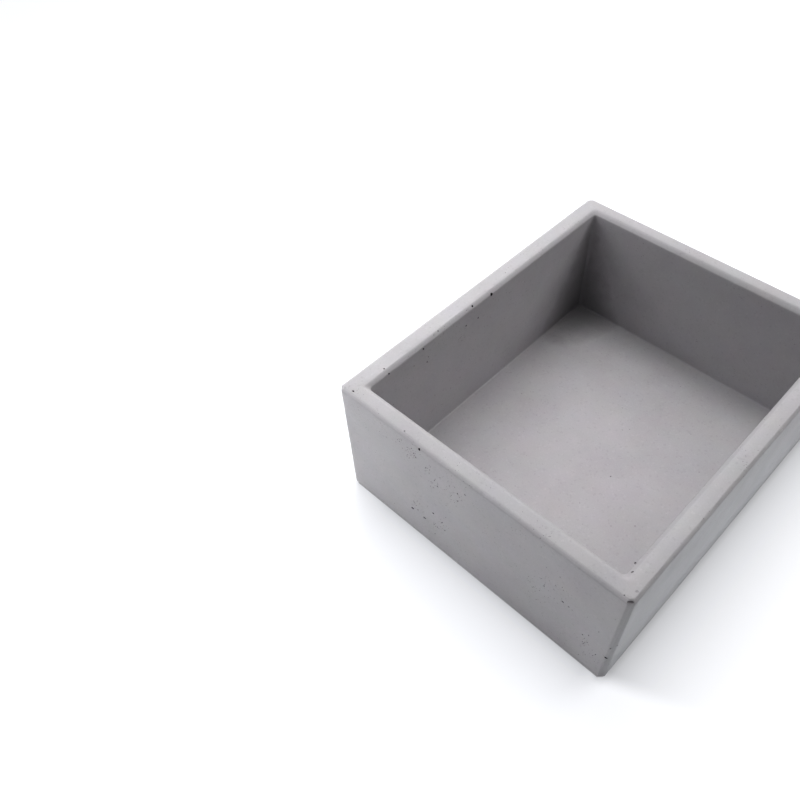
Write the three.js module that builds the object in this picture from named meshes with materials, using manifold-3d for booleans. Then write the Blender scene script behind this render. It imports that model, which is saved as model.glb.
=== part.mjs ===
// Open storage box cast in concrete, standing on four felt pads.
// Millimetres, +Z up, width along X and depth along Y, with the front at -Y.
// The origin is on the table, under the middle of the box.
import * as THREE from 'three';
import { mergeVertices, toCreasedNormals } from 'three/addons/utils/BufferGeometryUtils.js';
import Module from 'manifold-3d';

const wasm = await Module();
wasm.setup();

// Cast box, outside
const rimWidth = 120;
const rimDepth = 147;
const boxHeight = 56;
const cornerCut = 1.7;
const outerRimChamfer = 1.2;
const footChamfer = 0.8;
const outerDraftShare = 0.0175;

// Cast box, cavity
const wallThickness = 7.4;
const floorThickness = 6;
const innerRimChamfer = 1.8;
const cavityCornerRadius = 1.4;
const floorFillet = 1.2;
const coreDraftShare = 0.035;

// Felt pads
const padDiameter = 14;
const padThickness = 1;
const padEdgeChamfer = 0.3;
const padInset = 14;

// How finely round stretches are cut, and how far a cut runs past the face it opens
const arcSteps = 6;
const padSides = 48;
const overrun = 2;
const creaseAngle = THREE.MathUtils.degToRad(30);

// Insetting an outline by one unit shortens the legs of its 45 degree corner cuts by this share.
const cutLossShare = 2 - Math.SQRT2;

// Finishes
const concrete = new THREE.MeshStandardMaterial({ color: 0xb1aeb2, roughness: 0.82, metalness: 0 });
const felt = new THREE.MeshStandardMaterial({ color: 0x4b4a4d, roughness: 1, metalness: 0 });

// A rectangle with its corners cut off at 45 degrees, counter-clockwise from above.
function cutCornerRing(halfWidth, halfDepth, cut, z) {
  const corners = [[1, 1], [-1, 1], [-1, -1], [1, -1]];
  return corners.flatMap(([sideX, sideY]) => {
    const onEnd = new THREE.Vector3(sideX * halfWidth, sideY * (halfDepth - cut), z);
    const onFront = new THREE.Vector3(sideX * (halfWidth - cut), sideY * halfDepth, z);
    return sideX === sideY ? [onEnd, onFront] : [onFront, onEnd];
  });
}

// A rectangle with round corners, counter-clockwise from above.
function roundCornerRing(halfWidth, halfDepth, radius, z) {
  const corners = [[1, 1], [-1, 1], [-1, -1], [1, -1]];
  return corners.flatMap(([sideX, sideY], quarter) => {
    const centreX = sideX * (halfWidth - radius);
    const centreY = sideY * (halfDepth - radius);
    return Array.from({ length: arcSteps + 1 }, (_, step) => {
      const angle = (quarter + step / arcSteps) * Math.PI / 2;
      return new THREE.Vector3(centreX + radius * Math.cos(angle), centreY + radius * Math.sin(angle), z);
    });
  });
}

// A closed skin through a stack of rings with equal point counts, capped flat at the bottom and top.
function loftRings(rings) {
  const count = rings[0].length;
  const positions = rings.flat().flatMap((point) => point.toArray());
  const faces = [];
  for (let level = 0; level < rings.length - 1; level++) {
    for (let side = 0; side < count; side++) {
      const next = (side + 1) % count;
      const low = level * count;
      const high = low + count;
      faces.push(low + side, low + next, high + next);
      faces.push(low + side, high + next, high + side);
    }
  }
  const top = (rings.length - 1) * count;
  for (let side = 1; side < count - 1; side++) {
    faces.push(0, side + 1, side);
    faces.push(top, top + side, top + side + 1);
  }
  const geometry = new THREE.BufferGeometry();
  geometry.setAttribute('position', new THREE.Float32BufferAttribute(positions, 3));
  geometry.setIndex(faces);
  return geometry;
}

function toSolid(geometry) {
  geometry.deleteAttribute('normal');
  geometry.deleteAttribute('uv');
  const merged = mergeVertices(geometry);
  const vertProperties = Float32Array.from(merged.attributes.position.array);
  const triVerts = Uint32Array.from(merged.index.array);
  return new wasm.Manifold(new wasm.Mesh({ numProp: 3, vertProperties, triVerts }));
}

function toGeometry(solid) {
  const { vertProperties, triVerts } = solid.getMesh();
  const geometry = new THREE.BufferGeometry();
  geometry.setAttribute('position', new THREE.Float32BufferAttribute(vertProperties, 3));
  geometry.setIndex(Array.from(triVerts));
  return toCreasedNormals(geometry, creaseAngle);
}

// The outside of the casting: a block that narrows to its foot, with chamfered rim, foot and corners.
function outerBlock() {
  const shoulder = boxHeight - outerRimChamfer;
  const ringAt = (z, inset) => {
    const drawnIn = outerDraftShare * (shoulder - Math.min(z, shoulder)) + inset;
    const cut = cornerCut - cutLossShare * inset;
    return cutCornerRing(rimWidth / 2 - drawnIn, rimDepth / 2 - drawnIn, cut, z);
  };
  return loftRings([
    ringAt(0, footChamfer),
    ringAt(footChamfer, 0),
    ringAt(shoulder, 0),
    ringAt(boxHeight, outerRimChamfer),
  ]);
}

// The core that leaves the cavity: drafted walls, a fillet round the floor and a flare at the rim.
function cavityCore() {
  const flareFoot = boxHeight - innerRimChamfer;
  const ringAt = (z, inset) => {
    const drawnIn = wallThickness + coreDraftShare * (flareFoot - Math.min(z, flareFoot)) + inset;
    return roundCornerRing(rimWidth / 2 - drawnIn, rimDepth / 2 - drawnIn, cavityCornerRadius, z);
  };
  const filletRings = Array.from({ length: arcSteps + 1 }, (_, step) => {
    const angle = step / arcSteps * Math.PI / 2;
    const rise = floorFillet * (1 - Math.cos(angle));
    return ringAt(floorThickness + rise, floorFillet * (1 - Math.sin(angle)));
  });
  return loftRings([
    ...filletRings,
    ringAt(flareFoot, 0),
    ringAt(boxHeight + overrun, -(innerRimChamfer + overrun)),
  ]);
}

function concreteBox() {
  const casting = toSolid(outerBlock()).subtract(toSolid(cavityCore()));
  const mesh = new THREE.Mesh(toGeometry(casting), concrete);
  mesh.name = 'concrete_box';
  mesh.position.z = padThickness;
  return mesh;
}

// A felt disc with its lower edge broken, stuck flat to the underside of the box.
function basePad(name, x, y) {
  const radius = padDiameter / 2;
  const profile = [
    new THREE.Vector2(0, 0),
    new THREE.Vector2(radius - padEdgeChamfer, 0),
    new THREE.Vector2(radius, padEdgeChamfer),
    new THREE.Vector2(radius, padThickness),
    new THREE.Vector2(0, padThickness),
  ];
  const geometry = new THREE.LatheGeometry(profile, padSides);
  geometry.rotateX(Math.PI / 2);
  const mesh = new THREE.Mesh(geometry, felt);
  mesh.name = name;
  mesh.position.set(x, y, 0);
  return mesh;
}

function basePads() {
  const footDraft = outerDraftShare * (boxHeight - outerRimChamfer);
  const reachX = rimWidth / 2 - footDraft - padInset;
  const reachY = rimDepth / 2 - footDraft - padInset;
  return [
    basePad('base_pad_front_left', -reachX, -reachY),
    basePad('base_pad_front_right', reachX, -reachY),
    basePad('base_pad_back_left', -reachX, reachY),
    basePad('base_pad_back_right', reachX, reachY),
  ];
}

const storageBox = new THREE.Group();
storageBox.add(concreteBox(), ...basePads());

export default storageBox;
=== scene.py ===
import math
import random

import bmesh
import bpy
from mathutils import Matrix, Vector, noise


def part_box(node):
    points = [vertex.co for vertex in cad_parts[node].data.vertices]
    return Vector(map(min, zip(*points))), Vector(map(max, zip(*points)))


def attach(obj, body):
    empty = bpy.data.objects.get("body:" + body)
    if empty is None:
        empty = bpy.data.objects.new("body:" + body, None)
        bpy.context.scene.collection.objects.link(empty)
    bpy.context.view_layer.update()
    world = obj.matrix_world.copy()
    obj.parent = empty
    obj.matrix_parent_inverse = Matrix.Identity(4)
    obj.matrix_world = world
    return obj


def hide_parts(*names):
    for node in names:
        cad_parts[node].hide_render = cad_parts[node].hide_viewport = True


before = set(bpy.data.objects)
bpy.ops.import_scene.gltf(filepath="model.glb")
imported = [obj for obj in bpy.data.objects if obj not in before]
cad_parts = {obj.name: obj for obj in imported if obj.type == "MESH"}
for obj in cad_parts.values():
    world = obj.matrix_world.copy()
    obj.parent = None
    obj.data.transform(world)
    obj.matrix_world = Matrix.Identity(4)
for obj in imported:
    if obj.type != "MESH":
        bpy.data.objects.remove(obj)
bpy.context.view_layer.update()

# Camera
# A view from above the box's right front corner, close enough for strong perspective,
# with the box in the right half of the frame and its far right corner cut off.
camera_place = Vector((0.09108, -0.18683, 0.26516))
camera_azimuth = math.radians(46.638)
camera_elevation = math.radians(49.187)
camera_roll = math.radians(-2.989)
focal_pixels = 811.9
frame_pixels = 800

camera = bpy.data.objects.new("camera", bpy.data.cameras.new("camera"))
bpy.context.scene.collection.objects.link(camera)
camera.data.sensor_width = 36
camera.data.lens = camera.data.sensor_width * focal_pixels / frame_pixels
camera.data.clip_start = 0.01
camera.matrix_world = (
    Matrix.Translation(camera_place)
    @ Matrix.Rotation(camera_azimuth, 4, "Z")
    @ Matrix.Rotation(math.pi / 2 - camera_elevation, 4, "X")
    @ Matrix.Rotation(camera_roll, 4, "Z")
)
bpy.context.scene.camera = camera


# Cast box
# One pour of fine grey concrete: a floor and four walls that lean out slightly from the mould,
# with chamfers on the rim, the foot and the upright corners, and a softly worn lip round the mouth.
box_low, box_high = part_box("concrete_box")
box_size = box_high - box_low
box_middle = (box_low + box_high) / 2
wall = 0.0074
floor_thickness = 0.006
corner_cut = 0.0017
outer_rim_chamfer = 0.0012
lip_depth = 0.0021
lip_worn = 0.0003
left_lip_share = 0.75
left_wall_extra = 0.0005
left_wall_turn = 0.0003
foot_chamfer = 0.0008
cavity_corner_radius = 0.0014
floor_fillet = 0.0006
outer_draft_share = 0.0175
core_draft_share = 0.035
worn_edge = 0.00022
crisp_angle = math.radians(25)
smooth_angle = math.radians(32)
snap = 0.00001
sorting_digits = 6
near_level = 0.9


def select_only(mesh_part, test):
    """Selects the points, edges or faces in edit mode that pass a test, and nothing else."""
    bpy.ops.mesh.select_all(action="DESELECT")
    mesh = bmesh.from_edit_mesh(bpy.context.object.data)
    for item in getattr(mesh, mesh_part):
        if test(item):
            item.select_set(True)
    mesh.select_flush_mode()
    bmesh.update_edit_mesh(bpy.context.object.data)


def in_cavity(point):
    """True for a point nearer the cavity's side of the wall than the outside."""
    return abs(point.x) < (box_size.x - wall) / 2 and abs(point.y) < (box_size.y - wall) / 2


def on_lip(point):
    """True for a point on the worn lip, between the flat of the rim and the walls of the cavity."""
    return in_cavity(point) and box_low.z + lip_foot - snap < point.z < box_high.z - snap


def renumber(thing):
    """Numbers a mesh's points and faces by where they are, so that every run goes on alike."""
    points = [tuple(vert.co) for vert in thing.data.vertices]
    rough = [[round(number, sorting_digits) for number in point] for point in points]
    order = sorted(range(len(points)), key=lambda index: rough[index])
    renumbered = {old: new for new, old in enumerate(order)}
    rings = []
    for face in thing.data.polygons:
        ring = [renumbered[index] for index in face.vertices]
        start = ring.index(min(ring))
        rings.append(ring[start:] + ring[:start])
    thing.data.clear_geometry()
    thing.data.from_pydata([points[index] for index in order], [], sorted(rings))


def cut_out(cutter, name, materials="INDEX"):
    """Cuts an object's shape out of the cast box, and takes the object away."""
    bpy.ops.object.select_all(action="DESELECT")
    bpy.context.view_layer.objects.active = cast_box
    cast_box.select_set(True)
    cut = cast_box.modifiers.new(name, "BOOLEAN")
    cut.operation = "DIFFERENCE"
    cut.solver = "EXACT"
    cut.material_mode = materials
    cut.object = cutter
    bpy.ops.object.modifier_apply(modifier=name)
    bpy.data.objects.remove(cutter)


def sink_skin(thing, name, depth, width, group=""):
    """Lets the skin lie inside the shape by up to a depth, in soft lumps about a width across."""
    lumps = bpy.data.textures.new(name, "CLOUDS")
    lumps.noise_scale = width
    sink = thing.modifiers.new(name, "DISPLACE")
    sink.texture = lumps
    sink.texture_coords = "LOCAL"
    sink.mid_level = 1
    sink.strength = depth
    sink.vertex_group = group
    bpy.context.view_layer.objects.active = thing
    bpy.ops.object.modifier_apply(modifier=name)
    bpy.data.textures.remove(lumps)


def edge_is_crisp(edge):
    """True for an edge whose two faces meet at a clear angle."""
    return len(edge.link_faces) == 2 and edge.calc_face_angle() > crisp_angle


def edge_runs(edge, level):
    """True for a crisp edge that lies level at a height."""
    a, b = edge.verts[0].co, edge.verts[1].co
    return abs(a.z - level) < snap and abs(b.z - level) < snap and edge_is_crisp(edge)


def edge_stands(edge):
    """True for an upright edge."""
    return abs(edge.verts[0].co.z - edge.verts[1].co.z) > floor_thickness


# Flanks run straight on under the rim chamfer, so the raw block is a little wider at its top.
raw_width = box_size.x + 2 * outer_draft_share * outer_rim_chamfer
raw_depth = box_size.y + 2 * outer_draft_share * outer_rim_chamfer
foot_draw = 2 * outer_draft_share * box_size.z

bpy.ops.object.select_all(action="DESELECT")
bpy.ops.mesh.primitive_cube_add(size=1, location=box_middle, scale=(raw_width, raw_depth, box_size.z))
cast_box = bpy.context.object
cast_box.name = "cast_box"
bpy.ops.object.transform_apply(location=True, rotation=False, scale=True)
bpy.ops.object.mode_set(mode="EDIT")
bpy.ops.mesh.select_mode(type="FACE")
select_only("faces", lambda face: face.normal.z < -near_level)
foot_scale = ((raw_width - foot_draw) / raw_width, (raw_depth - foot_draw) / raw_depth, 1)
bpy.ops.transform.resize(value=foot_scale, center_override=(0, 0, box_low.z))
bpy.ops.mesh.select_mode(type="EDGE")
select_only("edges", edge_stands)
bpy.ops.mesh.bevel(offset=corner_cut, segments=1)
select_only("edges", lambda edge: edge_runs(edge, box_high.z))
bpy.ops.mesh.bevel(offset=outer_rim_chamfer, segments=1)
select_only("edges", lambda edge: edge_runs(edge, box_low.z))
bpy.ops.mesh.bevel(offset=foot_chamfer, segments=1)
bpy.ops.object.mode_set(mode="OBJECT")
renumber(cast_box)

# The mould's core, drawn up ring by ring: fillet round the floor, leaning walls, and the lip, a flat
# cut at 45 degrees that its worn arrises turn into and out of.
lip_foot = box_size.z - lip_depth
core_overrun = 0.0002
round_steps = 6
cut_slope = math.radians(45)
lip_slopes = [math.radians(15), math.radians(30), cut_slope, math.radians(60), math.radians(75)]
worn_height = lip_worn * sum(math.cos(slope) for slope in lip_slopes if slope != cut_slope)
lip_flat = (lip_depth - worn_height) * math.sqrt(2)


def core_size(height, inset):
    """Width and depth of the core at a height above the foot of the box."""
    drawn_in = wall + core_draft_share * max(lip_foot - height, 0) + inset
    return box_size.x - 2 * drawn_in, box_size.y - 2 * drawn_in


core_rings = [(floor_thickness, floor_fillet)]
for step in range(1, round_steps + 1):
    turn = math.pi / 2 * step / round_steps
    climb = floor_fillet * (1 - math.cos(turn))
    core_rings.append((floor_thickness + climb, floor_fillet * (1 - math.sin(turn))))
height, inset = lip_foot, 0
core_rings.append((height, inset))
for slope in lip_slopes:
    length = lip_flat if slope == cut_slope else lip_worn
    if slope == lip_slopes[-1]:
        length += core_overrun / math.cos(slope)
    height += length * math.cos(slope)
    inset -= length * math.sin(slope)
    core_rings.append((height, inset))

height, inset = core_rings[0]
width, depth = core_size(height, inset)
bpy.ops.object.select_all(action="DESELECT")
bpy.ops.mesh.primitive_plane_add(size=1, location=(0, 0, box_low.z + height))
core = bpy.context.object
bpy.ops.object.mode_set(mode="EDIT")
bpy.ops.mesh.select_all(action="SELECT")
bpy.ops.transform.resize(value=(width, depth, 1), center_override=(0, 0, box_low.z + height))
bpy.ops.mesh.bevel(offset=cavity_corner_radius, segments=round_steps, affect="VERTICES")
for next_height, next_inset in core_rings[1:]:
    next_width, next_depth = core_size(next_height, next_inset)
    rise = (0, 0, next_height - height)
    bpy.ops.mesh.extrude_region_move(TRANSFORM_OT_translate={"value": rise})
    bpy.ops.transform.resize(value=(next_width / width, next_depth / depth, 1), center_override=(0, 0, 0))
    height, width, depth = next_height, next_width, next_depth

# The left wall came out a little thicker at its top and towards the front, with a narrower lip.
left_wall = box_low.x + wall
bpy.ops.object.mode_set(mode="OBJECT")
bpy.ops.object.transform_apply(location=True, rotation=False, scale=False)
bpy.ops.object.mode_set(mode="EDIT")
bpy.ops.mesh.select_mode(type="VERT")
select_only("verts", lambda vert: vert.co.x < left_wall + 2 * cavity_corner_radius
            and vert.co.z > box_low.z + lip_foot - snap)
lip_scale = (left_lip_share, 1, left_lip_share)
bpy.ops.transform.resize(value=lip_scale, center_override=(left_wall, 0, box_high.z))
bpy.ops.transform.translate(value=(left_wall_extra, 0, 0))
select_only("verts", lambda vert: vert.co.x < 0 and vert.co.y < 0)
bpy.ops.transform.translate(value=(left_wall_turn, 0, 0))
bpy.ops.mesh.select_all(action="SELECT")
bpy.ops.mesh.normals_make_consistent(inside=False)
bpy.ops.object.mode_set(mode="OBJECT")
renumber(core)
cut_out(core, "core")
renumber(cast_box)

# The arrises rubbed off a little when the box left its mould.
bpy.ops.object.mode_set(mode="EDIT")
bpy.ops.mesh.select_mode(type="EDGE")
select_only("edges", edge_is_crisp)
bpy.ops.mesh.bevel(offset=worn_edge, segments=2)
bpy.ops.object.mode_set(mode="OBJECT")
renumber(cast_box)
bpy.ops.object.mode_set(mode="EDIT")

# Cuts a couple of millimetres apart give the flat faces enough points to follow an uneven mould.
cut_spacing = 0.002
first_cut_share = 0.45
cut_snap = 0.0003
closest_points = 0.00007
for axis in range(3):
    direction = [0, 0, 0]
    direction[axis] = 1
    cut_place = Vector(box_low)
    cut_place[axis] += first_cut_share * cut_spacing
    while cut_place[axis] < box_high[axis]:
        bpy.ops.mesh.select_all(action="SELECT")
        bpy.ops.mesh.bisect(plane_co=cut_place, plane_no=direction, threshold=cut_snap)
        cut_place[axis] += cut_spacing
bpy.ops.mesh.select_all(action="SELECT")
bpy.ops.mesh.remove_doubles(threshold=closest_points)
bpy.ops.object.mode_set(mode="OBJECT")
renumber(cast_box)

# The mould was not quite flat, and edges crumbled a little, so the skin lies slightly inside the block.
unevenness = 0.00009
unevenness_width = 0.014
crumble = 0.00012
crumble_width = 0.0022
worn_angle = math.radians(12)
edge_group = cast_box.vertex_groups.new(name="worn edges")
edge_mesh = bmesh.new()
edge_mesh.from_mesh(cast_box.data)
edge_verts = set()
for edge in edge_mesh.edges:
    if edge.calc_face_angle(0) > worn_angle:
        edge_verts.update(vert.index for vert in edge.verts)
edge_mesh.free()
edge_verts = {index for index in edge_verts if not in_cavity(cast_box.data.vertices[index].co)}
lip_verts = {vert.index for vert in cast_box.data.vertices if on_lip(vert.co)}
edge_group.add(list(edge_verts | lip_verts), 1, "REPLACE")
sink_skin(cast_box, "uneven mould", unevenness, unevenness_width)
sink_skin(cast_box, "crumbled edges", crumble, crumble_width, "worn edges")
bpy.context.view_layer.update()


# Cast finish
# Bare fair-faced concrete from a smooth mould: matt grey paste with faint smoky clouds, fine sand and
# pinholes. Painted shade darkens a corner inside, and painted light makes the flat and the front arris
# of the rim and the middle of the floor paler.
paste_pale = (0.392, 0.381, 0.394, 1)
paste_deep = (0.355, 0.344, 0.357, 1)
cloud_width = 0.022
blotch_width = 0.005
grain_width = 0.0004
pinhole_spacing = 0.0009
painted_shade_across = 0.022
painted_shade_along = 0.032
painted_shade_up = 0.051
painted_shade_raggedness = 0.3
painted_shade_edge_width = 0.007
painted_shade_depth = 0.68
rim_painted_light = 1.07
rim_depth = 0.0005
arris_painted_light_tone = 0.19
arris_painted_light_low_share = 0.5
floor_without_painted_light = (1, 1, 1, 1)
floor_painted_light = (1.092, 1.067, 1.082, 1)
floor_painted_light_middle = (0.006, -0.01)
floor_painted_light_within = 0.01
floor_painted_light_reach = 0.07
underside_height = 0.00012


def add_node(tree, kind, **settings):
    """Adds a shader node, with its properties and its unlinked inputs set by name."""
    node = tree.nodes.new(kind)
    for name, value in settings.items():
        socket = node.inputs.get(name.title())
        if socket:
            socket.default_value = value
        else:
            setattr(node, name, value)
    return node


def add_math(tree, operation, first, second=0.0, third=0.0):
    """Adds a math node whose inputs are numbers or other nodes' outputs, and gives its output."""
    node = tree.nodes.new("ShaderNodeMath")
    node.operation = operation
    for socket, value in zip(node.inputs, (first, second, third)):
        if isinstance(value, bpy.types.NodeSocket):
            tree.links.new(value, socket)
        else:
            socket.default_value = value
    return node.outputs["Value"]


def add_noise(tree, place, width, detail=2.0, roughness=0.5, distortion=0.0):
    """Adds a noise whose lumps are about a width across."""
    node = add_node(tree, "ShaderNodeTexNoise", scale=1 / width, detail=detail, roughness=roughness)
    node.inputs["Distortion"].default_value = distortion
    tree.links.new(place, node.inputs["Vector"])
    return node


def add_range(tree, value, low, high, new_low=0.0, new_high=1.0):
    """Maps a range of a value onto another range, with both ends held."""
    node = add_node(tree, "ShaderNodeMapRange", clamp=True)
    tree.links.new(value, node.inputs["Value"])
    for name, number in (("From Min", low), ("From Max", high), ("To Min", new_low), ("To Max", new_high)):
        node.inputs[name].default_value = number
    return node.outputs["Result"]


def add_mix(tree, share, first, second):
    """Mixes two colours, which are values or other nodes' outputs, and gives its output."""
    node = add_node(tree, "ShaderNodeMix", data_type="RGBA")
    tree.links.new(share, node.inputs["Factor"])
    colour_sockets = [socket for socket in node.inputs if socket.type == "RGBA"]
    for socket, colour in zip(colour_sockets, (first, second)):
        if isinstance(colour, bpy.types.NodeSocket):
            tree.links.new(colour, socket)
        else:
            socket.default_value = colour
    return [socket for socket in node.outputs if socket.type == "RGBA"][0]


def add_tone(tree, colour, factor):
    """Multiplies a colour by a value or by another colour."""
    node = add_node(tree, "ShaderNodeVectorMath", operation="MULTIPLY")
    tree.links.new(colour, node.inputs[0])
    tree.links.new(factor, node.inputs[1])
    return node.outputs["Vector"]


paste = bpy.data.node_groups.new("cement paste", "ShaderNodeTree")
paste_inputs = {"Pale": "NodeSocketColor", "Deep": "NodeSocketColor", "Pinholes": "NodeSocketFloat"}
paste_outputs = {"Color": "NodeSocketColor", "Roughness": "NodeSocketFloat", "Height": "NodeSocketFloat"}
for name, kind in paste_inputs.items():
    paste.interface.new_socket(name=name, in_out="INPUT", socket_type=kind)
for name, kind in paste_outputs.items():
    paste.interface.new_socket(name=name, in_out="OUTPUT", socket_type=kind)
paste_in = add_node(paste, "NodeGroupInput")
paste_out = add_node(paste, "NodeGroupOutput")
place = add_node(paste, "ShaderNodeTexCoord").outputs["Object"]

# Clouds drawn out like smoke, as where the wet paste flowed along the mould.
drift_width = 1.6 * cloud_width
drift_reach = 0.03
cloud_ends = (0.32, 0.68)
blotch_ends = (0.3, 0.7)
cloud_weight = 0.75
drift = add_noise(paste, place, drift_width, detail=2)
drift_shift = add_node(paste, "ShaderNodeVectorMath", operation="MULTIPLY_ADD")
paste.links.new(drift.outputs["Color"], drift_shift.inputs[0])
drift_shift.inputs[1].default_value = (drift_reach, drift_reach, drift_reach)
paste.links.new(place, drift_shift.inputs[2])
clouds = add_noise(paste, drift_shift.outputs["Vector"], cloud_width, detail=6, roughness=0.55)
blotches = add_noise(paste, place, blotch_width, detail=4, roughness=0.6)
cloud_share = add_range(paste, clouds.outputs["Fac"], *cloud_ends)
blotch_share = add_range(paste, blotches.outputs["Fac"], *blotch_ends)
paleness = add_math(paste, "MULTIPLY", blotch_share, 1 - cloud_weight)
paleness = add_math(paste, "MULTIPLY_ADD", cloud_share, cloud_weight, paleness)
tone = add_mix(paste, paleness, paste_in.outputs["Deep"], paste_in.outputs["Pale"])

# A drift of hue between violet, green and brown, too faint to name at a glance.
hue_width = 0.012
hue_swing = 0.07
least_hue = 1 - hue_swing / 2
hue_noise = add_noise(paste, place, hue_width, detail=3, roughness=0.6)
hue = add_node(paste, "ShaderNodeVectorMath", operation="MULTIPLY_ADD")
paste.links.new(hue_noise.outputs["Color"], hue.inputs[0])
hue.inputs[1].default_value = (hue_swing, hue_swing, hue_swing)
hue.inputs[2].default_value = (least_hue, least_hue, least_hue)
hued = add_tone(paste, tone, hue.outputs["Vector"])

# Sand and cement grain, with a few darker and paler grains.
sand_spacing = 0.0007
grain_ends = (0.25, 0.75)
grain_tones = (0.95, 1.05)
dark_sand_ends = (0.93, 0.97)
dark_sand_tone = 0.93
pale_sand_ends = (0.94, 0.98)
pale_sand_tone = 1.05
grain = add_noise(paste, place, grain_width, detail=3, roughness=0.65)
grain_tone = add_range(paste, grain.outputs["Fac"], *grain_ends, *grain_tones)
sand = add_node(paste, "ShaderNodeTexVoronoi", scale=1 / sand_spacing)
paste.links.new(place, sand.inputs["Vector"])
sand_pick = add_node(paste, "ShaderNodeSeparateColor")
paste.links.new(sand.outputs["Color"], sand_pick.inputs["Color"])
dark_sand = add_range(paste, sand_pick.outputs["Red"], *dark_sand_ends, 1.0, dark_sand_tone)
pale_sand = add_range(paste, sand_pick.outputs["Green"], *pale_sand_ends, 1.0, pale_sand_tone)
grained = hued
for sand_tone in (grain_tone, dark_sand, pale_sand):
    grained = add_tone(paste, grained, sand_tone)

# Pinholes too small for the mesh stand in groups: a point in some cells, where a slow noise is high.
crowd_width = 0.011
crowd_ends = (0.52, 0.66)
most_cells = 0.5
hole_edge = (0.1, 0.2)
pinhole_painted_shade = 0.55
hole_relief = 2.0
pinhole_cells = add_node(paste, "ShaderNodeTexVoronoi", scale=1 / pinhole_spacing)
paste.links.new(place, pinhole_cells.inputs["Vector"])
pinhole_pick = add_node(paste, "ShaderNodeSeparateColor")
paste.links.new(pinhole_cells.outputs["Color"], pinhole_pick.inputs["Color"])
crowd = add_noise(paste, place, crowd_width, detail=3, roughness=0.6)
crowded = add_range(paste, crowd.outputs["Fac"], *crowd_ends)
crowded = add_math(paste, "MULTIPLY", crowded, most_cells)
picked = add_math(paste, "LESS_THAN", pinhole_pick.outputs["Blue"], crowded)
hole_shape = add_range(paste, pinhole_cells.outputs["Distance"], *hole_edge, 1.0, 0.0)
hole = add_math(paste, "MULTIPLY", hole_shape, picked)
hole = add_math(paste, "MULTIPLY", hole, paste_in.outputs["Pinholes"])
# The pinholes' darkening is painted shade, standing in for holes too small for the mesh.
hole_tone = add_math(paste, "MULTIPLY_ADD", hole, -pinhole_painted_shade, 1.0)
paste.links.new(add_tone(paste, grained, hole_tone), paste_out.inputs["Color"])

# The paler clouds are a little smoother. Grain, blotches and pinholes all give the skin some relief.
roughest = 0.68
cloud_smoothing = 0.08
grain_relief = 0.35
blotch_relief = 0.6
roughness = add_math(paste, "MULTIPLY_ADD", cloud_share, -cloud_smoothing, roughest)
paste.links.new(roughness, paste_out.inputs["Roughness"])
relief = add_math(paste, "MULTIPLY", grain.outputs["Fac"], grain_relief)
relief = add_math(paste, "MULTIPLY_ADD", blotches.outputs["Fac"], blotch_relief, relief)
relief = add_math(paste, "MULTIPLY_ADD", hole, -hole_relief, relief)
paste.links.new(relief, paste_out.inputs["Height"])
skin_relief = 0.00003


def paste_material(name, pale, deep, pinholes):
    """A concrete material around the paste group, with its colour left to be toned further."""
    material = bpy.data.materials.new(name)
    material.use_nodes = True
    tree = material.node_tree
    shader = tree.nodes["Principled BSDF"]
    shader.inputs["Specular IOR Level"].default_value = 0.2
    group = add_node(tree, "ShaderNodeGroup")
    group.node_tree = paste
    group.inputs["Pale"].default_value = pale
    group.inputs["Deep"].default_value = deep
    group.inputs["Pinholes"].default_value = pinholes
    bump = add_node(tree, "ShaderNodeBump", distance=skin_relief, strength=1.0)
    tree.links.new(group.outputs["Height"], bump.inputs["Height"])
    tree.links.new(bump.outputs["Normal"], shader.inputs["Normal"])
    tree.links.new(group.outputs["Roughness"], shader.inputs["Roughness"])
    tree.links.new(group.outputs["Color"], shader.inputs["Base Color"])
    return material, tree, group, shader


cast_concrete, tree, group, shader = paste_material("cast concrete", paste_pale, paste_deep, 1.0)
place = add_node(tree, "ShaderNodeTexCoord").outputs["Object"]
parts = add_node(tree, "ShaderNodeSeparateXYZ")
tree.links.new(place, parts.inputs["Vector"])

# Painted shade, deepest at the foot of the back left corner, thinning up both walls and over the floor.
cavity_floor = box_low.z + floor_thickness
wall_draw = add_math(tree, "SUBTRACT", box_low.z + lip_foot, parts.outputs["Z"])
wall_draw = add_math(tree, "MULTIPLY_ADD", wall_draw, core_draft_share, wall)
from_left = add_math(tree, "SUBTRACT", add_math(tree, "ADD", parts.outputs["X"], box_size.x / 2), wall_draw)
from_back = add_math(tree, "SUBTRACT", box_size.y / 2, add_math(tree, "ADD", parts.outputs["Y"], wall_draw))
inside = add_math(tree, "GREATER_THAN", add_math(tree, "MINIMUM", from_left, from_back), -wall / 2)
share_across = add_math(tree, "DIVIDE", add_math(tree, "MAXIMUM", from_left, 0.0), painted_shade_across)
share_along = add_math(tree, "DIVIDE", add_math(tree, "MAXIMUM", from_back, 0.0), painted_shade_along)
share_level = add_math(tree, "POWER", share_along, 2.0)
share_level = add_math(tree, "MULTIPLY_ADD", share_across, share_across, share_level)
share_up = add_range(tree, parts.outputs["Z"], cavity_floor, cavity_floor + painted_shade_up)
painted_shade_edge = add_noise(tree, place, painted_shade_edge_width, detail=4, roughness=0.6).outputs["Fac"]
painted_shade_edge = add_math(tree, "MULTIPLY_ADD", painted_shade_edge, painted_shade_raggedness, -painted_shade_raggedness / 2)
painted_shade_path = add_math(tree, "ADD", add_math(tree, "SQRT", share_level), share_up)
painted_shade_path = add_math(tree, "MULTIPLY_ADD", painted_shade_edge, painted_shade_path, painted_shade_path)
painted_shade_share = add_range(tree, add_math(tree, "POWER", painted_shade_path, 2.0), 0.0, 1.0, 1.0, 0.0)
painted_shade_share = add_math(tree, "MULTIPLY", painted_shade_share, inside)
on_rim = add_math(tree, "GREATER_THAN", parts.outputs["Z"], box_high.z - rim_depth)
painted_shade_share = add_math(tree, "MULTIPLY", painted_shade_share, add_math(tree, "SUBTRACT", 1.0, on_rim))
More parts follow.
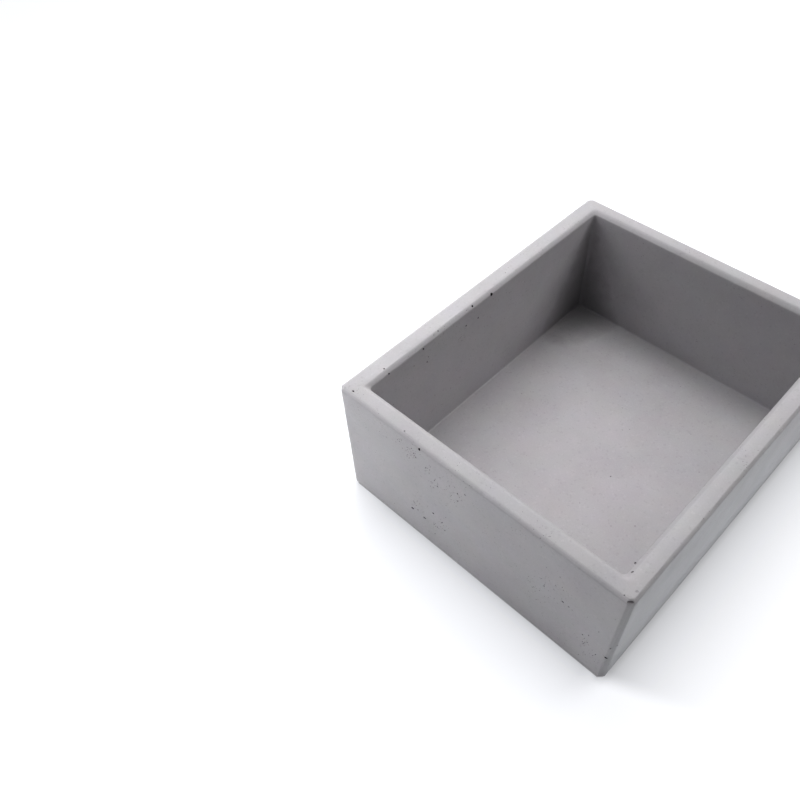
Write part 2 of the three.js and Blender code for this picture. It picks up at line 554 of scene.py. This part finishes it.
painted_shade_tone = add_math(tree, "MULTIPLY_ADD", painted_shade_share, -painted_shade_depth, 1.0)
painted_shade_and_light = add_tone(tree, group.outputs["Color"], painted_shade_tone)
# Painted light makes the flat of the rim a little paler.
painted_shade_and_light = add_tone(tree, painted_shade_and_light, add_math(tree, "MULTIPLY_ADD", on_rim, rim_painted_light - 1, 1.0))

# Painted light makes the middle of the floor paler and a little warmer.
off_across = add_math(tree, "SUBTRACT", parts.outputs["X"], floor_painted_light_middle[0])
off_along = add_math(tree, "SUBTRACT", parts.outputs["Y"], floor_painted_light_middle[1])
off_middle = add_math(tree, "MULTIPLY", off_across, off_across)
off_middle = add_math(tree, "MULTIPLY_ADD", off_along, off_along, off_middle)
floor_painted_light_fade = add_range(tree, add_math(tree, "SQRT", off_middle), floor_painted_light_within, floor_painted_light_reach, 1.0, 0.0)
on_floor = add_math(tree, "COMPARE", parts.outputs["Z"], cavity_floor, floor_fillet / 2)
floor_painted_light_share = add_math(tree, "MULTIPLY", floor_painted_light_fade, on_floor)
painted_shade_and_light = add_tone(tree, painted_shade_and_light, add_mix(tree, floor_painted_light_share, floor_without_painted_light, floor_painted_light))

# Painted light makes the front arris of the rim paler, most of all at its top.
on_front = add_math(tree, "LESS_THAN", parts.outputs["Y"], box_low.y + outer_rim_chamfer)
arris_painted_light_foot = box_high.z - outer_rim_chamfer
wear_and_painted_light = add_range(tree, parts.outputs["Z"], arris_painted_light_foot, box_high.z - rim_depth, arris_painted_light_low_share)
wear_and_painted_light = add_math(tree, "MULTIPLY", wear_and_painted_light, on_front)
painted_shade_and_light = add_tone(tree, painted_shade_and_light, add_math(tree, "MULTIPLY_ADD", wear_and_painted_light, arris_painted_light_tone, 1.0))

# The underside was the open top of the mould, struck off by hand, so it is coarser and patchier.
stroke_width = 0.004
stroke_ends = (0.3, 0.7)
stroke_tones = (0.86, 1.04)
stroke_relief = 6.0
struck = add_math(tree, "LESS_THAN", parts.outputs["Z"], box_low.z + underside_height)
strokes = add_noise(tree, place, stroke_width, detail=5, roughness=0.7, distortion=0.6).outputs["Fac"]
struck_tone = add_range(tree, strokes, *stroke_ends, *stroke_tones)
struck_mix = add_node(tree, "ShaderNodeMix", data_type="FLOAT")
tree.links.new(struck, struck_mix.inputs["Factor"])
struck_mix.inputs["A"].default_value = 1.0
tree.links.new(struck_tone, struck_mix.inputs["B"])
tree.links.new(add_tone(tree, painted_shade_and_light, struck_mix.outputs["Result"]), shader.inputs["Base Color"])
struck_height = add_math(tree, "MULTIPLY", add_math(tree, "MULTIPLY", strokes, struck), stroke_relief)
bump = shader.inputs["Normal"].links[0].from_node
tree.links.new(add_math(tree, "ADD", group.outputs["Height"], struck_height), bump.inputs["Height"])
cast_box.data.materials.clear()
cast_box.data.materials.append(cast_concrete)


# Air pores
# Bubbles that the wet concrete trapped against the mould, left as small round pits in the skin.
# The clear ones sit where the photograph shows them, and finer ones are scattered in clusters.
def seen_at(across, down):
    """Where the line of sight through a pixel of the photograph meets the box, and the skin's direction."""
    sight = Vector((across - frame_pixels / 2, frame_pixels / 2 - down, -focal_pixels))
    sight = (camera.matrix_world.to_3x3() @ sight).normalized()
    met, place, normal, face = cast_box.ray_cast(camera_place, sight)
    return place, normal


# Across and down in pixels, width of the mouth in metres, how much longer than wide, how deep for
# its width, and how its length leans in the picture, in degrees from rightwards to downwards.
seen_pores = {
    "far pit on the left wall's chamfer": (491.6, 294.5, 0.0011, 1.3, 1.6, -37),
    "near pit on the left wall's chamfer": (472.3, 306.1, 0.001, 1.0, 1.6, 0),
    "upper speck inside the left wall": (478.1, 317.9, 0.0008, 1.0, 1.2, 0),
    "lower speck inside the left wall": (466.1, 325.9, 0.0008, 1.0, 1.2, 0),
    "third speck inside the left wall": (438.0, 331.0, 0.0006, 1.0, 1.2, 0),
    "speck under the near left chamfer": (423.5, 349.0, 0.0008, 1.1, 1.6, 0),
    "speck deeper inside the left wall": (427.2, 362.0, 0.0006, 1.2, 1.3, 0),
    "speck between the two": (428.5, 356.9, 0.0005, 1.0, 1.2, 0),
    "speck low on the left wall": (414.0, 366.0, 0.0005, 1.0, 1.0, 0),
    "first speck by the near left corner": (384.0, 368.8, 0.0006, 1.3, 1.0, 0),
    "second speck by the near left corner": (389.0, 373.8, 0.0007, 1.1, 1.6, 0),
    "notch on the near left arris": (353.2, 391.2, 0.0007, 1.3, 1.5, 30),
    "nick in the front arris": (404.5, 431.0, 0.0005, 1.2, 1.0, 0),
    "black pit under the front rim": (419.1, 449.6, 0.00105, 1.0, 2.0, 0),
    "first speck by the black pit": (413.8, 453.4, 0.0005, 1.2, 1.2, 40),
    "second speck by the black pit": (415.8, 457.3, 0.0005, 1.2, 1.2, 40),
    "third speck by the black pit": (411.4, 448.4, 0.0004, 1.2, 1.2, 0),
    "upper specks on the left front": (425.8, 467.8, 0.00045, 1.3, 1.2, 0),
    "middle speck on the left front": (434.5, 480.4, 0.00045, 1.0, 1.2, 0),
    "lower speck on the left front": (437.5, 486.4, 0.0005, 1.0, 1.2, 0),
    "upper of the front pair": (457.4, 493.7, 0.0006, 1.0, 1.4, 0),
    "lower of the front pair": (457.4, 501.2, 0.00055, 1.0, 1.4, 0),
    "shallow one beside the front pair": (464.9, 494.8, 0.0006, 1.0, 0.7, 0),
    "speck above the wide pit": (414.1, 502.0, 0.0005, 1.2, 1.2, 30),
    "wide pit on the lower front": (412.7, 508.1, 0.0010, 1.4, 1.5, 35),
    "speck right of the wide pit": (418.0, 509.8, 0.00045, 1.0, 1.0, 0),
    "long pit on the lower front": (424.7, 517.9, 0.00085, 1.7, 1.5, 35),
    "first of the lower front cluster": (433.2, 513.4, 0.00075, 1.2, 1.4, 0),
    "second of the lower front cluster": (442.1, 522.6, 0.00065, 1.2, 1.2, 0),
    "third of the lower front cluster": (434.0, 524.1, 0.0006, 1.0, 0.8, 0),
    "fourth of the lower front cluster": (437.4, 527.1, 0.0005, 1.0, 1.2, 0),
    "fifth of the lower front cluster": (444.9, 530.4, 0.0005, 1.3, 1.2, 0),
    "sixth of the lower front cluster": (435.0, 533.8, 0.00045, 1.0, 1.2, 0),
    "shallow pit on the middle front": (544.0, 586.0, 0.0005, 1.0, 0.8, 0),
    "smear on the middle front": (562.7, 601.8, 0.00055, 1.6, 0.8, 40),
    "speck below the smear": (568.7, 606.9, 0.0004, 1.3, 1.0, 40),
    "first near the front corner": (582.5, 634.7, 0.0005, 1.0, 1.2, 0),
    "second near the front corner": (588.5, 635.6, 0.0004, 1.2, 1.2, 0),
    "third near the front corner": (583.5, 643.4, 0.00045, 1.0, 1.2, 0),
    "fourth near the front corner": (578.3, 654.5, 0.0004, 1.0, 1.2, 0),
    "fifth near the front corner": (595.4, 654.5, 0.00045, 1.0, 1.2, 0),
    "sixth near the front corner": (592.5, 655.4, 0.0004, 1.0, 1.2, 0),
    "torn pit beside the corner cut": (606.3, 658.1, 0.0007, 1.7, 1.7, 25),
    "pit in the corner cut": (610.5, 648.7, 0.0006, 1.0, 1.2, 0),
    "pit on the corner cut's far arris": (617.5, 645.7, 0.0005, 1.3, 0.8, 0),
    "rub at the top of the corner cut": (630.6, 602.3, 0.0009, 2.4, 0.35, 4),
    "nick beside the rub": (624.5, 595.2, 0.0004, 1.0, 1.0, 0),
    "faint rub on the rim's near corner": (637.0, 591.6, 0.0008, 1.4, 0.15, 0),
    "upper pit at the mouth's near corner": (635.4, 563.2, 0.0009, 1.1, 0.55, 0),
    "lower pit at the mouth's near corner": (632.4, 572.0, 0.0009, 1.1, 0.5, 0),
    "first speck on the inner floor": (610.6, 476.4, 0.0005, 1.0, 1.0, 0),
    "second speck on the inner floor": (611.0, 526.0, 0.0004, 1.0, 1.0, 0),
    "third speck on the inner floor": (635.0, 526.0, 0.0004, 1.0, 1.0, 0),
}
rubbed_pale = (0.33, 0.318, 0.33, 1)
rubbed_deep = (0.28, 0.27, 0.281, 1)
# The pore lining is darker than the paste: dust in the pores, and partly painted shade.
lining_pale = (0.24, 0.225, 0.235, 1)
lining_deep = (0.15, 0.14, 0.147, 1)
# Deep pits get a near-black lining, a painted shadow.
painted_shadow_pale = (0.03, 0.028, 0.03, 1)
painted_shadow_deep = (0.012, 0.011, 0.012, 1)
rubbed_skin = paste_material("rubbed skin", rubbed_pale, rubbed_deep, 0.0)[0]
pore_lining = paste_material("pore lining", lining_pale, lining_deep, 0.0)[0]
painted_shadow_lining = paste_material("deep pore lining", painted_shadow_pale, painted_shadow_deep, 0.0)[0]
rub_depth = 0.3
pit_depth = 1.55
bubble_details = (2, 2, 2, 1)
bubble_lumps = 0.05
bubble_shapes = []
for seed, detail in enumerate(bubble_details):
    bpy.ops.object.select_all(action="DESELECT")
    bpy.ops.mesh.primitive_ico_sphere_add(subdivisions=detail, radius=0.5, location=(0, 0, 0))
    bubble_shapes.append(bpy.context.object)
    bubble_shapes[-1].data.materials.append(pore_lining)
    bpy.ops.object.mode_set(mode="EDIT")
    bpy.ops.mesh.select_all(action="SELECT")
    bpy.ops.transform.vertex_random(offset=bubble_lumps, seed=seed + 1)
    bpy.ops.object.mode_set(mode="OBJECT")
fine_bubble = bubble_shapes.pop()

draw = random.Random(11)
sunk_share = 0.18
deep_sunk_share = 0.36
clearance_share = 0.65
placed_bubbles = []


def sink_bubble(place, normal, mouth, stretch, depth, along, shapes):
    """Sets a bubble into the skin, unless it would run into another. Deep ones narrow at the mouth and get
    a near-black lining, a painted shadow.
    """
    sunk = deep_sunk_share if depth > pit_depth else sunk_share
    width = mouth / math.sqrt(1 - (2 * sunk) ** 2)
    for other, reach, bubble in placed_bubbles:
        if (place - other).length < clearance_share * (width * stretch + reach):
            return
    cutter = draw.choice(shapes).copy()
    cutter.data = cutter.data.copy()
    bpy.context.scene.collection.objects.link(cutter)
    if depth > pit_depth:
        cutter.data.materials[0] = painted_shadow_lining
    elif depth < rub_depth:
        cutter.data.materials[0] = rubbed_skin
    side = normal.cross(along).normalized()
    lay = Matrix((side.cross(normal), side, normal)).transposed().to_4x4()
    size = Matrix.Diagonal((width * stretch, width, mouth * depth, 1))
    cutter.matrix_world = Matrix.Translation(place - normal * mouth * depth * sunk) @ lay @ size
    placed_bubbles.append((place, width * stretch, cutter))


def any_way(normal):
    """A direction in the skin, drawn at random."""
    return Matrix.Rotation(draw.uniform(0, math.pi), 3, normal) @ normal.orthogonal()


for across, down, width, stretch, depth, lean in seen_pores.values():
    place, normal = seen_at(across, down)
    lean = math.radians(lean)
    length_end = seen_at(across + math.cos(lean), down + math.sin(lean))[0]
    sink_bubble(place, normal, width, stretch, depth, length_end - place, bubble_shapes)

# Groups of finer specks: across and down in pixels, how far they spread each way, and how many.
speck_groups = {
    "just under the front arris": (399, 439, 4, 5, 12),
    "left of the black pit": (410, 453, 8, 8, 30),
    "right of the black pit": (428, 468, 4, 5, 11),
    "between the pits": (436, 483, 5, 5, 14),
    "left of the front pair": (449, 490, 8, 6, 10),
    "below the front pair": (455, 500, 8, 5, 12),
    "under the rim, right of the pair": (468, 485, 4, 4, 7),
    "round the wide pit": (416, 504, 8, 6, 10),
    "round the lower front cluster": (441, 524, 9, 9, 20),
    "on the middle front": (541, 590, 24, 20, 40),
    "near the front corner": (585, 645, 10, 10, 24),
    "inside the left wall": (452, 333, 24, 12, 14),
}
finest = 0.00022
fine = 0.00038
speck_stretch = 1.5
speck_depth = 0.9
for across, down, across_spread, down_spread, count in speck_groups.values():
    for speck in range(count):
        spot_across = across + draw.gauss(0, across_spread / 2)
        spot_down = down + draw.gauss(0, down_spread / 2)
        place, normal = seen_at(spot_across, spot_down)
        width = draw.uniform(finest, fine)
        if normal.length > 0:
            stretch = draw.uniform(1, speck_stretch)
            sink_bubble(place, normal, width, stretch, speck_depth, any_way(normal), [fine_bubble])

# Faces that the photograph shows get only specks besides, and the rest get pits as well.
skin = cast_box.data.polygons
skin_areas = [face.area for face in skin]
cluster_width = 0.018
pit_count = 110
narrowest_pit = 0.00035
widest_pit = 0.0011
small_bias = 2.5
scatter_stretch = 1.4
scatter_depth = 1.2
most_crowding = 0.45
speck_count = 380
tries_each = 12


def scatter(count, narrowest, widest, shapes, hidden_only):
    """Scatters bubbles over the skin, thick where a slow noise is high."""
    wanted = len(placed_bubbles) + count
    for face in draw.choices(skin, weights=skin_areas, k=count * tries_each):
        drift = Vector((draw.uniform(-1, 1), draw.uniform(-1, 1), draw.uniform(-1, 1))) * cut_spacing / 2
        place = face.center + drift - face.normal * drift.dot(face.normal)
        crowding = noise.noise(place / cluster_width)
        turned_away = (camera_place - place).dot(face.normal) < 0
        width = narrowest + (widest - narrowest) * draw.random() ** small_bias
        stretch = draw.uniform(1, scatter_stretch)
        if crowding > draw.uniform(0, most_crowding) and (turned_away or not hidden_only):
            sink_bubble(place, face.normal, width, stretch, scatter_depth, any_way(face.normal), shapes)
        if len(placed_bubbles) == wanted:
            break


scatter(pit_count, narrowest_pit, widest_pit, bubble_shapes, True)
scatter(speck_count, finest, fine, [fine_bubble], False)

bpy.context.view_layer.update()
bpy.ops.object.select_all(action="DESELECT")
for place, reach, cutter in placed_bubbles:
    cutter.select_set(True)
bubbles = placed_bubbles[0][2]
bpy.context.view_layer.objects.active = bubbles
bpy.ops.object.join()
for shape in bubble_shapes + [fine_bubble]:
    bpy.data.objects.remove(shape)
cut_out(bubbles, "pores", materials="TRANSFER")
bpy.ops.object.shade_smooth_by_angle(angle=smooth_angle)
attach(cast_box, "root")
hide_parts("concrete_box")


# Felt pads
# Discs punched from dark grey pressed felt with an adhesive back, one stuck under each corner
# so that the rough underside doesn't scratch the table.
pad_names = ("base_pad_front_left", "base_pad_front_right", "base_pad_back_left", "base_pad_back_right")
pad_low, pad_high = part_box(pad_names[0])
pad_middle = (pad_low + pad_high) / 2
pad_radius = (pad_high.x - pad_low.x) / 2
pad_thickness = pad_high.z - pad_low.z
pad_sides = 48
pad_edge = 0.0003
felt_rings = 5
ring_width = pad_radius / 7
many_sides = 8
lump_width = 0.0009
pad_turn_degrees = 37
felt_dark = (0.030, 0.030, 0.033, 1)
felt_pale = (0.105, 0.104, 0.110, 1)
felt_relief = 0.00006
fuzz = 0.00007

bpy.ops.object.select_all(action="DESELECT")
bpy.ops.mesh.primitive_cylinder_add(vertices=pad_sides, radius=pad_radius, depth=pad_thickness,
                                    location=(0, 0, pad_middle.z))
pad = bpy.context.object
bpy.ops.object.transform_apply(location=True, rotation=False, scale=False)
bpy.ops.object.mode_set(mode="EDIT")
bpy.ops.mesh.select_mode(type="EDGE")
select_only("edges", lambda edge: edge_runs(edge, pad_low.z))
bpy.ops.mesh.bevel(offset=pad_edge, segments=3)
bpy.ops.mesh.select_mode(type="FACE")
for ring in range(felt_rings):
    select_only("faces", lambda face: abs(face.normal.z) > near_level and len(face.verts) > many_sides)
    bpy.ops.mesh.inset(thickness=ring_width, use_individual=True)
select_only("faces", lambda face: len(face.verts) > many_sides)
bpy.ops.mesh.poke()
select_only("faces", lambda face: face.calc_center_median().z < pad_high.z - snap)
bpy.ops.mesh.subdivide(number_cuts=2)
bpy.ops.object.mode_set(mode="OBJECT")
loose_points = [vert.index for vert in pad.data.vertices if vert.co.z < pad_high.z - snap]
pad.vertex_groups.new(name="loose fibre").add(loose_points, 1, "REPLACE")
sink_skin(pad, "matting", fuzz, lump_width, "loose fibre")
bpy.ops.object.shade_smooth_by_angle(angle=smooth_angle)

pressed_felt = bpy.data.materials.new("pressed felt")
pressed_felt.use_nodes = True
tree = pressed_felt.node_tree
shader = tree.nodes["Principled BSDF"]
shader.inputs["Roughness"].default_value = 1.0
shader.inputs["Specular IOR Level"].default_value = 0.2
shader.inputs["Sheen Weight"].default_value = 0.35
shader.inputs["Sheen Roughness"].default_value = 0.6
place = add_node(tree, "ShaderNodeTexCoord").outputs["Object"]

# Three layers of fibres, by how they lie in degrees and how wide they look.
fibre_layers = ((20, 0.00012), (75, 0.00015), (140, 0.0001))
fibre_squeeze = 0.12
strand_ends = (0.45, 0.75)
fibre_tones = []
for turn, width in fibre_layers:
    lay = add_node(tree, "ShaderNodeMapping")
    lay.inputs["Rotation"].default_value = (0, 0, math.radians(turn))
    lay.inputs["Scale"].default_value = (fibre_squeeze, 1, 1)
    tree.links.new(place, lay.inputs["Vector"])
    layer = add_noise(tree, lay.outputs["Vector"], width, detail=2, roughness=0.6, distortion=0.8)
    fibre_tones.append(layer.outputs["Fac"])
strands = add_math(tree, "MAXIMUM", fibre_tones[0], fibre_tones[1])
strands = add_math(tree, "MAXIMUM", strands, fibre_tones[2])
felt_tone = add_mix(tree, add_range(tree, strands, *strand_ends), felt_dark, felt_pale)
tree.links.new(felt_tone, shader.inputs["Base Color"])
felt_bump = add_node(tree, "ShaderNodeBump", distance=felt_relief, strength=1.0)
tree.links.new(strands, felt_bump.inputs["Height"])
tree.links.new(felt_bump.outputs["Normal"], shader.inputs["Normal"])
pad.data.materials.clear()
pad.data.materials.append(pressed_felt)

for quarter, pad_name in enumerate(pad_names):
    low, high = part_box(pad_name)
    copy = pad.copy()
    copy.data = pad.data.copy()
    copy.name = "felt_" + pad_name.replace("base_", "")
    bpy.context.scene.collection.objects.link(copy)
    seat = Matrix.Translation(((low.x + high.x) / 2, (low.y + high.y) / 2, 0))
    copy.data.transform(seat @ Matrix.Rotation(math.radians(pad_turn_degrees * quarter), 4, "Z"))
    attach(copy, "root")
    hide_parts(pad_name)
bpy.data.objects.remove(pad)


# Table
# A plain white table top that runs on behind the box. Seen straight it is close to white,
# with the box's soft shadow left in it, and it lights the box like any white board.
table_size = 6
table_white = (0.82, 0.825, 0.83, 1)
table_seen = (0.35, 0.35, 0.35, 1)
table_glow = (0.95, 0.962, 1.0, 1)
glow_far = 0.845
glow_dip = 0.3
dip_halves_in = 0.0045
side_glow_dip = 0.1
shade_dip = 0.36
shade_halves_in = 0.0125
shade_lean = 0.4
dip_ends_left = (-0.012, 0.02)
dip_ends_right = (-0.002, 0.007)
shade_ends = (-0.0025, 0.0055)
shade_starts = (-0.004, -0.002)
dark_under_foot = 0.0009
glow_under_foot = 0.1


def seen_straight(tree):
    """One for what the camera sees, straight or in a reflection, and nought for the light on the box."""
    path = add_node(tree, "ShaderNodeLightPath")
    straight = add_math(tree, "MAXIMUM", path.outputs["Is Camera Ray"], path.outputs["Is Glossy Ray"])
    return add_math(tree, "MAXIMUM", straight, path.outputs["Is Transmission Ray"])


bpy.ops.object.select_all(action="DESELECT")
bpy.ops.mesh.primitive_plane_add(size=table_size, location=(0, 0, 0))
table = bpy.context.object
table.name = "table"
table_paint = bpy.data.materials.new("white table")
table_paint.use_nodes = True
tree = table_paint.node_tree
shader = tree.nodes["Principled BSDF"]
shader.inputs["Roughness"].default_value = 0.7
shader.inputs["Specular IOR Level"].default_value = 0.1
shader.inputs["Emission Color"].default_value = table_glow
straight = seen_straight(tree)
tree.links.new(add_mix(tree, straight, table_white, table_seen), shader.inputs["Base Color"])

# The glow dips towards the foot of the box, where the table sees less of the room, and more on its
# right, which the lamps on the left leave in shade. Both dips fade out at the corners.
place = add_node(tree, "ShaderNodeTexCoord").outputs["Object"]
folded = add_node(tree, "ShaderNodeVectorMath", operation="ABSOLUTE")
tree.links.new(place, folded.inputs[0])
outside = add_node(tree, "ShaderNodeVectorMath", operation="SUBTRACT")
tree.links.new(folded.outputs["Vector"], outside.inputs[0])
foot_right = (box_size.x - foot_draw) / 2
outside.inputs[1].default_value = (foot_right, (box_size.y - foot_draw) / 2, 0)
past_foot = add_node(tree, "ShaderNodeSeparateXYZ")
tree.links.new(outside.outputs["Vector"], past_foot.inputs["Vector"])
furthest = add_math(tree, "MAXIMUM", past_foot.outputs["X"], past_foot.outputs["Y"])
past_cut = add_math(tree, "ADD", past_foot.outputs["X"], past_foot.outputs["Y"])
past_cut = add_math(tree, "MULTIPLY_ADD", past_cut, math.sqrt(0.5), corner_cut * math.sqrt(0.5))
furthest = add_math(tree, "MAXIMUM", furthest, past_cut)
in_the_open = add_range(tree, furthest, -dark_under_foot, -dark_under_foot / 2, glow_under_foot, 1.0)
held = add_node(tree, "ShaderNodeVectorMath", operation="MAXIMUM")
tree.links.new(outside.outputs["Vector"], held.inputs[0])
beside = add_node(tree, "ShaderNodeSeparateXYZ")
tree.links.new(held.outputs["Vector"], beside.inputs["Vector"])
sides = add_node(tree, "ShaderNodeSeparateXYZ")
tree.links.new(place, sides.inputs["Vector"])


def add_dip(depth, distance, halves_in):
    """A loss of glow that halves with each step of distance from the foot."""
    share = add_math(tree, "POWER", 0.5, add_math(tree, "DIVIDE", distance, halves_in))
    return add_math(tree, "MULTIPLY", share, depth)


from_left_end = add_math(tree, "ADD", sides.outputs["X"], foot_right)
from_right_end = add_math(tree, "SUBTRACT", foot_right, sides.outputs["X"])
front_dip = add_dip(glow_dip, beside.outputs["Y"], dip_halves_in)
front_dip = add_math(tree, "MULTIPLY", front_dip, add_range(tree, from_left_end, *dip_ends_left))
front_dip = add_math(tree, "MULTIPLY", front_dip, add_range(tree, from_right_end, *dip_ends_right))

from_corner = add_math(tree, "MULTIPLY", past_foot.outputs["Y"], -1.0)
from_corner = add_math(tree, "MULTIPLY_ADD", beside.outputs["X"], -shade_lean, from_corner)
side_share = add_range(tree, from_corner, *shade_ends)
side_share.node.interpolation_type = "SMOOTHSTEP"
side_share = add_math(tree, "MULTIPLY", side_share, add_range(tree, past_foot.outputs["X"], *shade_starts))
side_dip = add_dip(side_glow_dip, beside.outputs["X"], dip_halves_in)
on_right = add_math(tree, "GREATER_THAN", sides.outputs["X"], 0.0)
shade = add_math(tree, "MULTIPLY", add_dip(shade_dip, beside.outputs["X"], shade_halves_in), on_right)
side_dip = add_math(tree, "MULTIPLY", add_math(tree, "ADD", side_dip, shade), side_share)
dip = add_math(tree, "ADD", front_dip, side_dip)
glow = add_math(tree, "SUBTRACT", glow_far, dip)
glow = add_math(tree, "MULTIPLY", glow, in_the_open)
tree.links.new(add_math(tree, "MULTIPLY", glow, straight), shader.inputs["Emission Strength"])
table.data.materials.append(table_paint)


# Studio light
# Soft boxes high behind the box on both sides and to its right, low strips in front, small ones near
# the left and front rims, and white cards on the table to the right and by the near right corner.
room = bpy.data.worlds.new("room")
bpy.context.scene.world = room
room.use_nodes = True
tree = room.node_tree
backdrop = tree.nodes["Background"]
backdrop.inputs["Color"].default_value = (1, 1, 1, 1)
tree.links.new(seen_straight(tree), backdrop.inputs["Strength"])

light_aim = Vector((0, 0, 0.03))
near_corner_aim = Vector((-0.055, -0.07, 0.057))
left_rim_aim = Vector((-0.055, 0, 0.057))
front_rim_aim = Vector((-0.02, -0.07, 0.057))
right_card = Vector((0.09, -0.01, 0.002))
corner_card = Vector((0.058, -0.084, 0.002))
# Aim, bearing and height in degrees, distance, width and height in metres, watts, colour. The cards
# lie on the table and face up, so they hang just below their aims.
soft_boxes = {
    "soft box behind on the left": (light_aim, 140, 60, 0.7, 0.36, 0.36, 2.37, (1.0, 1.0, 1.0)),
    "soft box overhead": (light_aim, 110, 76, 0.7, 0.36, 0.36, 1.8, (1.0, 0.998, 0.998)),
    "soft box behind on the right": (light_aim, 60, 40, 0.7, 0.3, 0.3, 1.21, (1.0, 0.998, 1.0)),
    "soft box on the right": (light_aim, 30, 28, 0.7, 0.3, 0.3, 0.6, (0.995, 0.99, 1.0)),
    "low strip in front on the left": (light_aim, 225, 2, 0.3, 0.15, 0.02, 0.208, (0.983, 0.987, 1.0)),
    "low strip in front": (light_aim, 270, 1, 0.4, 0.3, 0.03, 0.078, (0.95, 0.966, 1.0)),
    "small soft box in front on the left":
        (light_aim, 225, 20, 0.3, 0.15, 0.15, 0.143, (0.964, 0.981, 1.0)),
    "small soft box over the near left corner":
        (near_corner_aim, 150, 46, 0.143, 0.08, 0.08, 0.115, (0.982, 0.989, 1.0)),
    "small soft box behind the left rim":
        (left_rim_aim, 115.4, 22.8, 0.24, 0.12, 0.12, 0.13, (0.99, 1.0, 0.998)),
    "small soft box over the front rim":
        (front_rim_aim, 270, 47.7, 0.193, 0.1, 0.1, 0.036, (0.9, 0.92, 1.0)),
    "white card on the right": (right_card, 0, -89.9, 0.001, 0.14, 0.05, 0.0165, (0.85, 0.957, 1.0)),
    "small white card by the near right corner":
        (corner_card, 90, -89.9, 0.001, 0.024, 0.016, 0.0005, (0.96, 0.98, 1)),
}
for name, (aim, bearing, height, reach, across, upright, watts, colour) in soft_boxes.items():
    lamp = bpy.data.lights.new(name, "AREA")
    lamp.shape = "RECTANGLE"
    lamp.size = across
    lamp.size_y = upright
    lamp.energy = watts
    lamp.color = colour
    holder = bpy.data.objects.new(name, lamp)
    bpy.context.scene.collection.objects.link(holder)
    bearing, height = math.radians(bearing), math.radians(height)
    level = math.cos(height)
    away = Vector((math.cos(bearing) * level, math.sin(bearing) * level, math.sin(height)))
    holder.location = aim + away * reach
    holder.rotation_euler = away.to_track_quat("Z", "Y").to_euler()
    holder.visible_camera = False

bpy.context.scene.view_settings.view_transform = "Standard"
